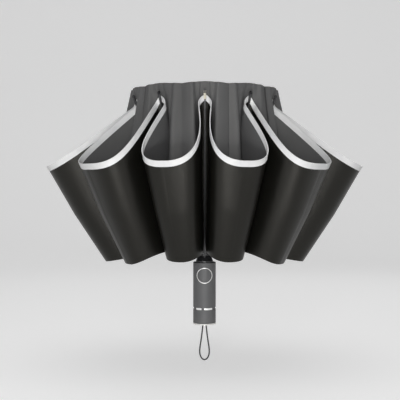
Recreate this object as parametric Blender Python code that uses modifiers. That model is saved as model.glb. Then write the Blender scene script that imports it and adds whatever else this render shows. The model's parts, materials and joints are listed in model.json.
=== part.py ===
"""A compact inverted umbrella, standing grip down with its shaft pushed in and its canopy half folded.

Metres, +Z up. The origin is the centre of the grip's lower end. The front, with the button, faces -Y.
Ten ribs leave the crown. Each has an arm, a middle rib, an outer rib and a stretcher, and each of these
is a flat link that stands in the rib's own radial plane.
"""
import math

import bmesh
import bpy
from mathutils import Matrix, Vector

MM = 0.001

# Counts and clearances
RIB_COUNT = 10
GORE_ANGLE = 2 * math.pi / RIB_COUNT
FRONT_ANGLE = -math.pi / 2
ROUND_STEPS = 48
SMALL_STEPS = 24
SEAT_GAP = 0.3 * MM
SLOT_GAP = 0.4 * MM
OVERRUN = 2.0 * MM
MERGE = 0.01 * MM

# Grip: a round shell with a light ring at its lower end and a dark collar at its top
GRIP_R = 17.0 * MM
GRIP_WALL = 2.0 * MM
GRIP_TOP = 93.0 * MM
GRIP_LIP_H = 2.0 * MM
GRIP_EDGE = 0.6 * MM
END_RING_H = 2.0 * MM
END_RING_W = 3.0 * MM
END_CAP_H = 9.0 * MM
RECESS_R = 7.5 * MM
RECESS_H = 7.3 * MM

# Groove round the grip, with two metal plates let in at the front
GROOVE_Z = 22.5 * MM
GROOVE_H = 3.2 * MM
GROOVE_D = 1.0 * MM
PLATE_SHORT_START = math.radians(-136)
PLATE_SHORT_END = math.radians(-106)
PLATE_LONG_START = math.radians(-92)
PLATE_LONG_END = math.radians(-48)

# Button and the ring round it
BUTTON_Z = 74.0 * MM
BUTTON_R = 10.4 * MM
BUTTON_RING_W = 0.9 * MM
BUTTON_RING_PROUD = 0.25 * MM
BUTTON_SKIRT = 0.4 * MM

# Collar
COLLAR_FLANGE_H = 5.0 * MM
COLLAR_NECK_R = 13.0 * MM
COLLAR_NECK_H = 2.0 * MM
COLLAR_WAIST_R = 9.6 * MM
COLLAR_WAIST_H = 8.0 * MM
COLLAR_RISE = 24.0 * MM
COLLAR_TOP = GRIP_TOP + COLLAR_RISE
COLLAR_CHAMFER = 1.5 * MM

# Telescopic shaft: three tubes, each inside the one below it when it is pushed in
TUBE_R = 7.0 * MM
TUBE_WALL = 0.7 * MM
TUBE_FOOT = 14.0 * MM
TUBE_STEP = 4.0 * MM
TUBE_GAP = 0.3 * MM

# The links' pivots lie this far inside the outer edge of what carries them
PIVOT_INSET = 3.0 * MM

# Crown, which carries the arms, and the cap that clamps the cloth on it
CROWN_R = 17.0 * MM
CROWN_H = 14.0 * MM
CROWN_TOP = 306.0 * MM
CROWN_PIVOT_DROP = 6.0 * MM
CROWN_PIVOT_R = CROWN_R - PIVOT_INSET
CROWN_PIVOT_Z = CROWN_TOP - CROWN_PIVOT_DROP
CROWN_EDGE = 1.0 * MM
TUBE_TO_CROWN = 26.0 * MM
LOWER_TUBE_TOP = CROWN_TOP - CROWN_H - TUBE_TO_CROWN
CAP_R = 11.5 * MM
CAP_H = 6.0 * MM
CAP_STEM_R = 4.0 * MM
CAP_STEM_H = 5.0 * MM

# Runner, which carries the stretchers
RUNNER_R = 16.5 * MM
RUNNER_DROP = 40.0 * MM
RUNNER_LOW = LOWER_TUBE_TOP - RUNNER_DROP
RUNNER_H = 21.0 * MM
RUNNER_PIVOT_RISE = 14.0 * MM
RUNNER_PIVOT_R = RUNNER_R - PIVOT_INSET
RUNNER_PIVOT_Z = RUNNER_LOW + RUNNER_PIVOT_RISE
RUNNER_SKIRT_R = 11.0 * MM
RUNNER_SKIRT_H = 7.0 * MM
RUNNER_CLEAR = 0.4 * MM
RUNNER_EDGE = 1.0 * MM

# Frame points in a rib's radial plane, as radius and height
SHOULDER_R = 101.0 * MM
SHOULDER_Z = 344.0 * MM
JOINT_R = 20.0 * MM
JOINT_Z = 108.0 * MM
ELBOW_OUT = 9.0 * MM
ELBOW_DROP = 4.0 * MM
ELBOW_R = JOINT_R + ELBOW_OUT
ELBOW_Z = JOINT_Z - ELBOW_DROP
TIP_OUT = 7.6 * MM
TIP_DROP = 7.0 * MM
TIP_R = SHOULDER_R + TIP_OUT
TIP_Z = SHOULDER_Z - TIP_DROP
STRETCHER_SEAT = 60.0 * MM

# Links
LINK_THICK = 2.0 * MM
LINK_HALF_W = 1.3 * MM
LINK_EYE_R = 2.4 * MM
SIDE_STEP = LINK_THICK + SEAT_GAP
EYE_STEPS = 5

# Canopy: the cloth, the reflective binding on its rim, and the shape of its folds. The folds reach
# further to the sides than to the front and back, so they have a radius for each.
CLOTH_THICK = 0.8 * MM
CLOTH_CLEAR = 2.9 * MM
BINDING_THICK = 1.2 * MM
BINDING_W = 8.5 * MM
BINDING_GAP = 0.7 * MM
RIM_DROP = 4.0 * MM
RIM_Z = TIP_Z - RIM_DROP
CLOTH_HOLE_GAP = 0.6 * MM
SHOULDER_LIFT = 3.0 * MM
SHOULDER_OVER = 8.2 * MM
SHOULDER_MID_OUT = 5.0 * MM
SHOULDER_MID_RISE = 4.5 * MM
SHOULDER_MID_R = SHOULDER_R + SHOULDER_MID_OUT
SHOULDER_MID_Z = SHOULDER_Z + SHOULDER_MID_RISE
WALL_MID_R = 133.0 * MM
WALL_FRONT_R = 108.0 * MM
WALL_MID_Z = 232.0 * MM
WALL_RIB_Z = 230.0 * MM
SEAM_LOW_RISE = 10.0 * MM
SEAM_LOW_Z = JOINT_Z + SEAM_LOW_RISE
LOBE_FOOT_R = 148.0 * MM
FOOT_FRONT_R = 112.0 * MM
LOBE_FOOT_Z = 94.5 * MM
FOOT_FRONT_Z = 104.5 * MM
LOBE_FOOT_W = 6.0 * MM
LOBE_TIP_R = 235.0 * MM
TIP_FRONT_R = 160.0 * MM
LOBE_TIP_Z = 236.0 * MM
TIP_FRONT_Z = 241.5 * MM
LOBE_HALF_W = 78.0 * MM
FOOT_HALF_W = 42.0 * MM
WALL_HALF_W = 35.0 * MM
CROWN_HALF_W = 3.0 * MM
HAIRPIN_BASE = 2.0 * MM
HAIRPIN_SHARE = 0.064
HAIRPIN_REACH_SHARE = 0.5
POCKET_GAP = 3.2 * MM
HANDLE_SHARE = 0.5
LOBE_STEP_SHARES = (0.4, 0.74, 1.0)
TURN_SHARE = 0.16
LOBE_PINCH = math.radians(4)
LOBE_LEAN = 7.0 * MM
LOBE_LIFT = 14.0 * MM
LOBE_SAG = 1.0 * MM
LOBE_DIP = 7.0 * MM
FOOT_LIFT = 4.0 * MM
FOOT_SLANT = 9.0 * MM
SIDE_NARROW_SHARE = 0.35
OUTER_BULGE = 3.0 * MM
SHOULDER_FOLD_SHARE = 0.25

# Wrist loop on its pin
PIN_R = 1.0 * MM
PIN_Z = 3.4 * MM
CORD_R = 1.1 * MM
CORD_STEPS = 6
LOOP_ROUTE_MM = (
    (0.0, 2.4), (2.4, 0.0), (2.5, -5.0), (3.1, -12.0), (4.8, -26.0),
    (7.0, -41.0), (6.9, -49.0), (4.4, -55.4), (0.0, -58.0),
)

# Colours, roughness and metallic values
GREY_GRIP = (0.085, 0.085, 0.088, 1.0)
BLACK_PLASTIC = (0.012, 0.012, 0.013, 1.0)
LIGHT_TRIM = (0.72, 0.71, 0.68, 1.0)
STEEL = (0.55, 0.55, 0.56, 1.0)
DARK_STEEL = (0.07, 0.07, 0.075, 1.0)
CLOTH_DARK = (0.032, 0.031, 0.028, 1.0)
REFLECTIVE = (0.8, 0.8, 0.8, 1.0)
CORD_GREY = (0.03, 0.03, 0.032, 1.0)


def clear_scene():
    """Remove what the file holds, and make the two collections."""
    for old in list(bpy.data.objects):
        bpy.data.objects.remove(old, do_unlink=True)
    found = []
    for name in ("inverted_umbrella", "cutters"):
        collection = bpy.data.collections.new(name)
        bpy.context.scene.collection.children.link(collection)
        found.append(collection)
    return found


PARTS, CUTTERS = clear_scene()


def material(name, colour, roughness, metallic=0.0):
    """A Principled material for one sub-part."""
    made = bpy.data.materials.new(name)
    made.use_nodes = True
    shader = made.node_tree.nodes["Principled BSDF"]
    shader.inputs["Base Color"].default_value = colour
    shader.inputs["Roughness"].default_value = roughness
    shader.inputs["Metallic"].default_value = metallic
    return made


def finish(obj, colour, roughness, metallic=0.0):
    """Put a part in its collection with its own material, shaded smooth."""
    for collection in list(obj.users_collection):
        collection.objects.unlink(obj)
    PARTS.objects.link(obj)
    obj.data.materials.clear()
    obj.data.materials.append(material(obj.name, colour, roughness, metallic))
    if obj.type == "MESH":
        obj.data.shade_smooth()
        obj.data.set_sharp_from_angle(angle=math.radians(35))
    return obj


def as_cutter(obj):
    """Set a helper object aside: it is drawn as a wire and never built."""
    for collection in list(obj.users_collection):
        collection.objects.unlink(obj)
    CUTTERS.objects.link(obj)
    obj.hide_render = True
    obj.display_type = "WIRE"
    return obj


def mesh_object(name, mesh):
    """An object for a mesh, linked to the scene."""
    obj = bpy.data.objects.new(name, mesh)
    PARTS.objects.link(obj)
    return obj


def turned(name, profile, steps=ROUND_STEPS):
    """Turn a closed outline of (radius, height) points round Z. It is listed down its outer side."""
    bm = bmesh.new()
    corners = [bm.verts.new((radius, 0, height)) for radius, height in profile]
    for one, two in zip(corners, corners[1:] + corners[:1]):
        bm.edges.new((one, two))
    mesh = bpy.data.meshes.new(name)
    bm.to_mesh(mesh)
    bm.free()
    obj = mesh_object(name, mesh)
    screw = obj.modifiers.new("turn", "SCREW")
    screw.steps = steps
    screw.render_steps = steps
    screw.use_merge_vertices = True
    screw.merge_threshold = MERGE
    return obj


def turned_solid(name, profile, steps=ROUND_STEPS):
    """Turn an open outline that starts and ends on the axis."""
    bm = bmesh.new()
    corners = [bm.verts.new((radius, 0, height)) for radius, height in profile]
    for one, two in zip(corners, corners[1:]):
        bm.edges.new((one, two))
    mesh = bpy.data.meshes.new(name)
    bm.to_mesh(mesh)
    bm.free()
    obj = mesh_object(name, mesh)
    screw = obj.modifiers.new("turn", "SCREW")
    screw.steps = steps
    screw.render_steps = steps
    screw.use_merge_vertices = True
    screw.merge_threshold = MERGE
    return obj


def rod(name, radius, length, place, turn, steps=SMALL_STEPS):
    """A closed cylinder, centred on place, with its axis turned from Z by a matrix."""
    bm = bmesh.new()
    bmesh.ops.create_cone(
        bm, cap_ends=True, segments=steps, radius1=radius, radius2=radius, depth=length
    )
    mesh = bpy.data.meshes.new(name)
    bm.to_mesh(mesh)
    bm.free()
    obj = mesh_object(name, mesh)
    obj.matrix_world = Matrix.Translation(place) @ turn
    return obj


def boolean(obj, other, operation):
    """Cut, join or keep what two solids share."""
    step = obj.modifiers.new(operation.lower(), "BOOLEAN")
    step.operation = operation
    step.solver = "EXACT"
    step.object = as_cutter(other)
    return obj


def slots(name, count, inner_r, outer_r, low, high, width, offset):
    """Boxes for the slots of a crown or runner, each in one rib's plane, moved sideways by offset."""
    bm = bmesh.new()
    size = Matrix.Diagonal((outer_r - inner_r, width, high - low, 1.0))
    centre = Vector(((inner_r + outer_r) / 2, offset, (low + high) / 2))
    for index in range(count):
        turn = Matrix.Rotation(rib_angle(index), 4, "Z")
        bmesh.ops.create_cube(bm, size=1.0, matrix=turn @ Matrix.Translation(centre) @ size)
    mesh = bpy.data.meshes.new(name)
    bm.to_mesh(mesh)
    bm.free()
    return mesh_object(name, mesh)


def rib_angle(index):
    """Direction of a rib round the shaft."""
    return FRONT_ANGLE + index * GORE_ANGLE


# Grip


def tube_profile(outer_r, inner_r, low, high):
    """Closed outline of a plain tube or ring."""
    return ((outer_r, high), (outer_r, low), (inner_r, low), (inner_r, high))


def front_rod(name, radius):
    """A cutter along Y through the front wall of the grip only."""
    place = Vector((0, -GRIP_R, BUTTON_Z))
    depth = 2 * (GRIP_R - TUBE_R - OVERRUN)
    return rod(name, radius, depth, place, Matrix.Rotation(math.pi / 2, 4, "X"), ROUND_STEPS)


def ring_hole_r():
    """Radius of the hole that the button's ring sits in."""
    return BUTTON_R + BUTTON_RING_W + 2 * SEAT_GAP


def make_grip():
    """The shell, with a lip inside its top, a groove and the button's hole."""
    low = END_RING_H + SEAT_GAP
    inner = GRIP_R - GRIP_WALL
    lip = COLLAR_NECK_R + SEAT_GAP
    floor = GRIP_R - GROOVE_D
    profile = (
        (GRIP_R - GRIP_EDGE, GRIP_TOP), (GRIP_R, GRIP_TOP - GRIP_EDGE),
        (GRIP_R, GROOVE_Z + GROOVE_H), (floor, GROOVE_Z + GROOVE_H),
        (floor, GROOVE_Z), (GRIP_R, GROOVE_Z),
        (GRIP_R, low), (inner, low), (inner, GRIP_TOP - GRIP_LIP_H),
        (lip, GRIP_TOP - GRIP_LIP_H), (lip, GRIP_TOP),
    )
    shell = turned("grip_shell", profile)
    boolean(shell, front_rod("button_hole_cutter", ring_hole_r()), "DIFFERENCE")
    finish(shell, GREY_GRIP, 0.55)


def make_end():
    """The light ring and the dark cap at the grip's lower end, both flat underneath."""
    inner = GRIP_R - END_RING_W
    ring = turned("grip_end_ring", tube_profile(GRIP_R, inner, 0, END_RING_H))
    finish(ring, LIGHT_TRIM, 0.35)
    rim = inner - SEAT_GAP
    plug = GRIP_R - GRIP_WALL - SEAT_GAP
    step = END_RING_H + SEAT_GAP
    profile = (
        (0, END_CAP_H), (plug, END_CAP_H), (plug, step), (rim, step), (rim, 0),
        (RECESS_R, 0), (RECESS_R, RECESS_H), (0, RECESS_H),
    )
    finish(turned_solid("grip_end_cap", profile), BLACK_PLASTIC, 0.5)


def make_plate(name, start, end):
    """A thin curved plate in the groove, from one angle to another."""
    outer = GRIP_R
    inner = GRIP_R - GROOVE_D + SEAT_GAP
    low = GROOVE_Z + SEAT_GAP
    high = GROOVE_Z + GROOVE_H - SEAT_GAP
    bm = bmesh.new()
    section = [
        bm.verts.new((radius * math.cos(start), radius * math.sin(start), height))
        for radius, height in tube_profile(outer, inner, low, high)
    ]
    face = bm.faces.new(section)
    bmesh.ops.recalc_face_normals(bm, faces=[face])
    bmesh.ops.spin(
        bm, geom=[face] + list(face.edges) + section, cent=(0, 0, 0), axis=(0, 0, 1),
        angle=end - start, steps=EYE_STEPS * 2, use_duplicate=False,
    )
    bmesh.ops.recalc_face_normals(bm, faces=bm.faces)
    mesh = bpy.data.meshes.new(name)
    bm.to_mesh(mesh)
    bm.free()
    finish(mesh_object(name, mesh), STEEL, 0.25, 1.0)


def shell_slice(name, outer_r, inner_r, round_r):
    """A disc of the grip's round wall, as wide as round_r, facing the front."""
    half = round_r + OVERRUN
    wall = turned(name, tube_profile(outer_r, inner_r, BUTTON_Z - half, BUTTON_Z + half))
    return boolean(wall, front_rod(name + "_outline", round_r), "INTERSECT")


def make_button():
    """The button follows the grip's round wall. It is pressed straight in, along +Y."""
    button = shell_slice("button", GRIP_R, GRIP_R - GRIP_WALL - BUTTON_SKIRT, BUTTON_R)
    finish(button, GREY_GRIP, 0.5)
    ring_r = BUTTON_R + BUTTON_RING_W + SEAT_GAP
    proud = GRIP_R + BUTTON_RING_PROUD
    ring = shell_slice("button_ring", proud, GRIP_R - GRIP_WALL, ring_r)
    boolean(ring, front_rod("button_ring_bore", BUTTON_R + SEAT_GAP), "DIFFERENCE")
    finish(ring, STEEL, 0.2, 1.0)


def make_collar():
    """The dark collar, held under the shell's lip, with the lower tube through it."""
    flange = GRIP_R - GRIP_WALL - SEAT_GAP
    flange_top = GRIP_TOP - GRIP_LIP_H - SEAT_GAP
    flange_low = flange_top - COLLAR_FLANGE_H
    bore = TUBE_R + SEAT_GAP
    neck_top = GRIP_TOP + COLLAR_NECK_H
    waist = neck_top + COLLAR_WAIST_H
    profile = (
        (COLLAR_WAIST_R - COLLAR_CHAMFER, COLLAR_TOP), (COLLAR_WAIST_R, COLLAR_TOP - COLLAR_CHAMFER),
        (COLLAR_WAIST_R, waist), (COLLAR_NECK_R, neck_top), (COLLAR_NECK_R, flange_top),
        (flange, flange_top), (flange, flange_low), (bore, flange_low), (bore, COLLAR_TOP),
    )
    finish(turned("grip_collar", profile), BLACK_PLASTIC, 0.4)


# Shaft


def tube_radius(index):
    """Outer radius of the shaft's tubes, from the lowest to the topmost."""
    return TUBE_R - index * (TUBE_WALL + TUBE_GAP)


def tube_foot(index):
    """Lower end of each tube when the shaft is pushed in."""
    return TUBE_FOOT + index * TUBE_STEP


def make_tube(name, index, top):
    """One tube of the shaft."""
    radius = tube_radius(index)
    profile = tube_profile(radius, radius - TUBE_WALL, tube_foot(index), top)
    finish(turned(name, profile, SMALL_STEPS), STEEL, 0.25, 1.0)


def make_shaft():
    """Lower tube in the grip, middle tube, and upper tube that carries the crown."""
    make_tube("shaft_lower_tube", 0, LOWER_TUBE_TOP)
    make_tube("shaft_middle_tube", 1, LOWER_TUBE_TOP + TUBE_STEP)
    make_tube("shaft_upper_tube", 2, CROWN_TOP - CAP_STEM_H)


def make_crown():
    """Crown with a slot for each arm, and a domed cap over the cloth."""
    bore = tube_radius(2) + SEAT_GAP
    low = CROWN_TOP - CROWN_H
    profile = (
        (CROWN_R - CROWN_EDGE, CROWN_TOP), (CROWN_R, CROWN_TOP - CROWN_EDGE),
        (CROWN_R, low + CROWN_EDGE), (CROWN_R - CROWN_EDGE, low), (bore, low), (bore, CROWN_TOP),
    )
    crown = turned("crown", profile)
    floor = CROWN_PIVOT_R - LINK_EYE_R - SLOT_GAP
    cut = slots(
        "crown_slot_cutter", RIB_COUNT, floor, CROWN_R + OVERRUN, low - OVERRUN,
        CROWN_TOP + OVERRUN, LINK_THICK + 2 * SLOT_GAP, 0,
    )
    boolean(crown, cut, "DIFFERENCE")
    finish(crown, BLACK_PLASTIC, 0.45)
    seat = CROWN_TOP + SEAT_GAP
    stem = CAP_STEM_R
    steps = 6
    dome = [
        (CAP_R * math.sin(s * math.pi / 2 / steps), seat + CAP_H * math.cos(s * math.pi / 2 / steps))
        for s in range(steps + 1)
    ]
    dome[0] = (0, dome[0][1])
    foot = CROWN_TOP - CAP_STEM_H + SEAT_GAP
    profile = dome + [(stem, seat), (stem, foot), (0, foot)]
    finish(turned_solid("crown_cap", profile, SMALL_STEPS), BLACK_PLASTIC, 0.35)


def make_runner():
    """Runner on the shaft, with a slot for each stretcher."""
    bore = TUBE_R + RUNNER_CLEAR
    high = RUNNER_LOW + RUNNER_H
    step = RUNNER_LOW + RUNNER_SKIRT_H
    profile = (
        (RUNNER_R - RUNNER_EDGE, high), (RUNNER_R, high - RUNNER_EDGE), (RUNNER_R, step + RUNNER_EDGE),
        (RUNNER_R - RUNNER_EDGE, step), (RUNNER_SKIRT_R, step), (RUNNER_SKIRT_R, RUNNER_LOW),
        (bore, RUNNER_LOW), (bore, high),
    )
    runner = turned("runner", profile)
    floor = RUNNER_PIVOT_R - LINK_EYE_R - SLOT_GAP
    cut = slots(
        "runner_slot_cutter", RIB_COUNT, floor, RUNNER_R + OVERRUN, step + OVERRUN,
        high + OVERRUN, LINK_THICK + 2 * SLOT_GAP, SIDE_STEP,
    )
    boolean(runner, cut, "DIFFERENCE")
    finish(runner, BLACK_PLASTIC, 0.45)


# Ribs


def strip_outline(path, half_w, eye_r):
    """Outline of a bar along a path of 2D points, with a round eye at each end."""
    left, right = [], []
    last = len(path) - 1
    for index in range(1, last):
        before = (path[index] - path[index - 1]).normalized()
        after = (path[index + 1] - path[index]).normalized()
        across = Vector((-(before.y + after.y), before.x + after.x)).normalized()
        reach = half_w / across.dot(Vector((-before.y, before.x)))
        left.append(path[index] + across * reach)
        right.append(path[index] - across * reach)
    start = eye_arc(path[0], path[0] - path[1], half_w, eye_r)
    end = eye_arc(path[last], path[last] - path[last - 1], half_w, eye_r)
    return start + right + end + left[::-1]


def eye_arc(centre, away, half_w, eye_r):
    """Points round an eye, anticlockwise, leaving out the side where the bar joins."""
    middle = math.atan2(away.y, away.x)
    half = math.pi - math.asin(half_w / eye_r)
    angles = [middle - half + 2 * half * step / (2 * EYE_STEPS) for step in range(2 * EYE_STEPS + 1)]
    return [centre + eye_r * Vector((math.cos(a), math.sin(a))) for a in angles]


def make_link(name, path, index, side):
    """A flat link in a rib's radial plane. Its origin is its first pivot. side moves it off the plane."""
    flat = [Vector(point) - Vector(path[0]) for point in path]
    outline = strip_outline(flat, LINK_HALF_W, LINK_EYE_R)
    curve = bpy.data.curves.new(name, "CURVE")
    curve.dimensions = "2D"
    curve.fill_mode = "BOTH"
    curve.extrude = LINK_THICK / 2
    spline = curve.splines.new("POLY")
    spline.points.add(len(outline) - 1)
    for point, place in zip(spline.points, outline):
        point.co = (place.x, place.y, 0, 1)
    spline.use_cyclic_u = True
    obj = mesh_object(name, curve)
    radius, height = path[0]
    stand = Matrix.Rotation(math.pi / 2, 4, "X")
    place = Matrix.Translation((radius, side, height))
    obj.matrix_world = Matrix.Rotation(rib_angle(index), 4, "Z") @ place @ stand
    finish(obj, DARK_STEEL, 0.35, 1.0)


def arm_point(distance):
    """Point on the arm's line at a distance from its pivot on the crown."""
    pivot = Vector((CROWN_PIVOT_R, CROWN_PIVOT_Z))
    along = (Vector((SHOULDER_R, SHOULDER_Z)) - pivot).normalized()
    return tuple(pivot + along * distance)


def make_rib(index):
    """The four links of one rib."""
    crown = (CROWN_PIVOT_R, CROWN_PIVOT_Z)
    shoulder = (SHOULDER_R, SHOULDER_Z)
    joint = (JOINT_R, JOINT_Z)
    make_link(f"arm_{index}", (crown, shoulder), index, 0)
    make_link(f"middle_rib_{index}", (shoulder, joint), index, -SIDE_STEP)
    outer = (joint, (ELBOW_R, ELBOW_Z), (TIP_R, TIP_Z))
    make_link(f"outer_rib_{index}", outer, index, 0)
    runner = (RUNNER_PIVOT_R, RUNNER_PIVOT_Z)
    make_link(f"stretcher_{index}", (runner, arm_point(STRETCHER_SEAT)), index, SIDE_STEP)


# Canopy


def seam_shoulder():
    """Where the cloth passes over the outer end of an arm, as radius and height."""
    shoulder = Vector((SHOULDER_R, SHOULDER_Z))
    along = (shoulder - Vector((CROWN_PIVOT_R, CROWN_PIVOT_Z))).normalized()
    return tuple(shoulder + along * SHOULDER_OVER + Vector((-along.y, along.x)) * SHOULDER_LIFT)


def seam_inner(height):
    """Seam of the cloth just outside the middle rib, at a height."""
    share = (height - JOINT_Z) / (SHOULDER_Z - JOINT_Z)
    slope = math.hypot(SHOULDER_R - JOINT_R, SHOULDER_Z - JOINT_Z) / (SHOULDER_Z - JOINT_Z)
    return JOINT_R + share * (SHOULDER_R - JOINT_R) + CLOTH_CLEAR * slope


def seam_outer(height):
    """Seam of the cloth just inside the outer rib, at a height."""
    share = (height - ELBOW_Z) / (TIP_Z - ELBOW_Z)
    slope = math.hypot(TIP_R - ELBOW_R, TIP_Z - ELBOW_Z) / (TIP_Z - ELBOW_Z)
    return ELBOW_R + share * (TIP_R - ELBOW_R) - CLOTH_CLEAR * slope


def fold_row(seam, middle, half_w, extra, lobe, slant=(0, 0)):
    """One row of points across half a gore, from the seam on the rib to the fold's middle.

    seam and middle are (radius, height). half_w is how far the fold swells sideways, extra how much
    further from the rib's plane it runs, and lobe how much of the fold's shape it has, from 0 to 1.
    slant is how far the middle leans towards the rib, and how far the stretch between them is lifted.
    """
    half = GORE_ANGLE / 2
    seam_r, seam_z = seam
    mid_r, mid_z = middle
    out = Vector((math.cos(half), -math.sin(half)))
    side = Vector((math.sin(half), math.cos(half)))
    pinched = Vector((math.cos(half + LOBE_PINCH), -math.sin(half + LOBE_PINCH)))
    hairpin = HAIRPIN_BASE + HAIRPIN_SHARE * seam_r + extra
    start = out * seam_r
    bend = out * (seam_r + HAIRPIN_REACH_SHARE * hairpin * lobe) + side * hairpin
    lean, lift = slant
    end = Vector((mid_r, -lean))
    handle = HANDLE_SHARE * (mid_r - bend.x)
    controls = (bend, bend + pinched * handle, end - Vector((0, half_w)), end)
    folded = [start, bend] + [bezier(controls, share) for share in LOBE_STEP_SHARES]
    ways = [0, TURN_SHARE] + [TURN_SHARE + (1 - TURN_SHARE) * share for share in LOBE_STEP_SHARES]
    slanted = max(0, lobe - SHOULDER_FOLD_SHARE) / (1 - SHOULDER_FOLD_SHARE)
    row = []
    for index, (point, way) in enumerate(zip(folded, ways)):
        angle = -half * (1 - index / (len(folded) - 1))
        share = index / (len(folded) - 1)
        radius = seam_r + (mid_r - seam_r) * share
        plain = radius * Vector((math.cos(angle), math.sin(angle)))
        spot = plain.lerp(point, lobe)
        rise = share + ((spot.x - start.x) / (mid_r - start.x) - share) * slanted
        lifted = lift * math.sin(math.pi * way) ** 2
        row.append((spot.x, spot.y, seam_z + (mid_z - seam_z) * rise + lifted))
    return row


def bezier(controls, share):
    """Point on a cubic Bezier."""
    a, b, c, d = controls
    rest = 1 - share
    return rest ** 3 * a + 3 * rest ** 2 * share * b + 3 * rest * share ** 2 * c + share ** 3 * d


def oval(side, front, azimuth):
    """A size that goes from its side value to its front value and back, round the shaft, as in an oval."""
    return 1 / math.hypot(math.cos(azimuth) / side, math.sin(azimuth) / front)


def tip_spot(azimuth):
    """Radius and height of the lobe's tip at an azimuth."""
    return oval(LOBE_TIP_R, TIP_FRONT_R, azimuth), oval(LOBE_TIP_Z, TIP_FRONT_Z, azimuth)


def foot_spot(azimuth):
    """Radius and height of the lobe's foot at an azimuth."""
    return oval(LOBE_FOOT_R, FOOT_FRONT_R, azimuth), oval(LOBE_FOOT_Z, FOOT_FRONT_Z, azimuth)


def nearness(azimuth):
    """How close a lobe lies to the front or back, from 0 to 1."""
    return math.sin(azimuth) ** 6


def outwardness(azimuth, side):
    """Above 0 on the half of a lobe that lies further from the front and back, below 0 on the other."""
    return -math.copysign(side, math.sin(2 * azimuth) * side)


def rim_slant(azimuth, side):
    """Lean and lift of half a lobe at its rim. side says which of the lobe's two ribs it hangs from.

    The lobes near the front and back lean towards the sides of the canopy and hang lower there.
    """
    near = nearness(azimuth)
    outward = outwardness(azimuth, side)
    if outward > 0:
        lift = -LOBE_SAG * near
    else:
        lift = LOBE_LIFT * near - LOBE_DIP * math.sin(2 * azimuth) ** 2
    return LOBE_LEAN * outward * near, lift


def foot_slant(azimuth, side):
    """Lean and lift of half a lobe at its foot, which is rounded, and higher on its inward half."""
    lift = FOOT_LIFT * nearness(azimuth)
    if outwardness(azimuth, side) < 0:
        lift += FOOT_SLANT * math.sin(2 * azimuth) ** 2
    return 0, lift


def half_slant(azimuth, side):
    """Lean and lift of half a lobe halfway up its outer wall."""
    rim, foot = rim_slant(azimuth, side), foot_slant(azimuth, side)
    return (rim[0] + foot[0]) / 2, (rim[1] + foot[1]) / 2


def swell(half_w, reach, side_reach, azimuth):
    """How far a fold swells sideways, in step with its reach. The lobes at the two sides are slimmer."""
    return half_w * reach / side_reach * (1 - SIDE_NARROW_SHARE * math.cos(azimuth) ** 8)


def rim_ends(azimuth):
    """Seam and middle of the rim, and the way down the cloth from each."""
    seam = Vector((seam_outer(RIM_Z), RIM_Z))
    middle = Vector(tip_spot(azimuth))
    foot = Vector(foot_spot(azimuth))
    seam_down = (Vector((seam_outer(SEAM_LOW_Z), SEAM_LOW_Z)) - seam).normalized()
    return seam, middle, seam_down, (foot - middle).normalized()


def rim_row(azimuth, side, depth):
    """A row of the outer wall at a distance below the rim."""
    seam, middle, seam_down, middle_down = rim_ends(azimuth)
    half_w = swell(LOBE_HALF_W, middle.x, LOBE_TIP_R, azimuth)
    slant = rim_slant(azimuth, side)
    return fold_row(seam + seam_down * depth, middle + middle_down * depth, half_w, 0, 1, slant)


def canopy_rows(azimuth, side):
    """Rows of half a gore: crown, shoulder, down the inner wall, round the foot and up to the binding."""
    low_slant = foot_slant(azimuth, side)
    hole = (CAP_R + CLOTH_HOLE_GAP, CROWN_TOP + SEAT_GAP + CLOTH_THICK / 2)
    shoulder_mid = (SHOULDER_MID_R, SHOULDER_MID_Z)
    inner_low = (seam_inner(SEAM_LOW_Z), SEAM_LOW_Z)
    outer_low = (seam_outer(SEAM_LOW_Z), SEAM_LOW_Z)
    wall_r = oval(WALL_MID_R, WALL_FRONT_R, azimuth)
    foot_r, foot_z = foot_spot(azimuth)
    tip_r, tip_z = tip_spot(azimuth)
    foot_in = (foot_r - LOBE_FOOT_W, foot_z + LOBE_FOOT_W / 2)
    half = (seam_outer(RIM_Z) + outer_low[0]) / 2, (RIM_Z + SEAM_LOW_Z) / 2
    bulge = (tip_r + foot_r) / 2 + OUTER_BULGE, (tip_z + foot_z) / 2
    wall_w = swell(WALL_HALF_W, wall_r, WALL_MID_R, azimuth)
    foot_w = swell(FOOT_HALF_W, foot_r, LOBE_FOOT_R, azimuth)
    wide = (swell(LOBE_HALF_W, tip_r, LOBE_TIP_R, azimuth) + foot_w) / 2
    return [
        fold_row(hole, (hole[0] + MERGE, hole[1]), CROWN_HALF_W, 0, 0),
        fold_row(seam_shoulder(), shoulder_mid, WALL_HALF_W, POCKET_GAP, SHOULDER_FOLD_SHARE),
        fold_row((seam_inner(WALL_RIB_Z), WALL_RIB_Z), (wall_r, WALL_MID_Z), wall_w, POCKET_GAP, 1),
        fold_row(inner_low, foot_in, foot_w - POCKET_GAP, POCKET_GAP, 1, low_slant),
        fold_row(outer_low, (foot_r, foot_z), foot_w, 0, 1, low_slant),
        fold_row(half, bulge, wide, 0, 1, half_slant(azimuth, side)),
        rim_row(azimuth, side, BINDING_W + BINDING_GAP),
    ]


def binding_rows(azimuth, side):
    """Rows of the binding in half a gore."""
    return [rim_row(azimuth, side, BINDING_W), rim_row(azimuth, side, 0)]


def gore_points(first_half, second_half, middle_angle):
    """Points of one row across a gore, from one rib to just before the next."""
    mirrored = [(u, -v, z) for u, v, z in second_half[-2:0:-1]]
    turn = Matrix.Rotation(middle_angle, 3, "Z")
    return [turn @ Vector(point) for point in first_half + mirrored]


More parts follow.
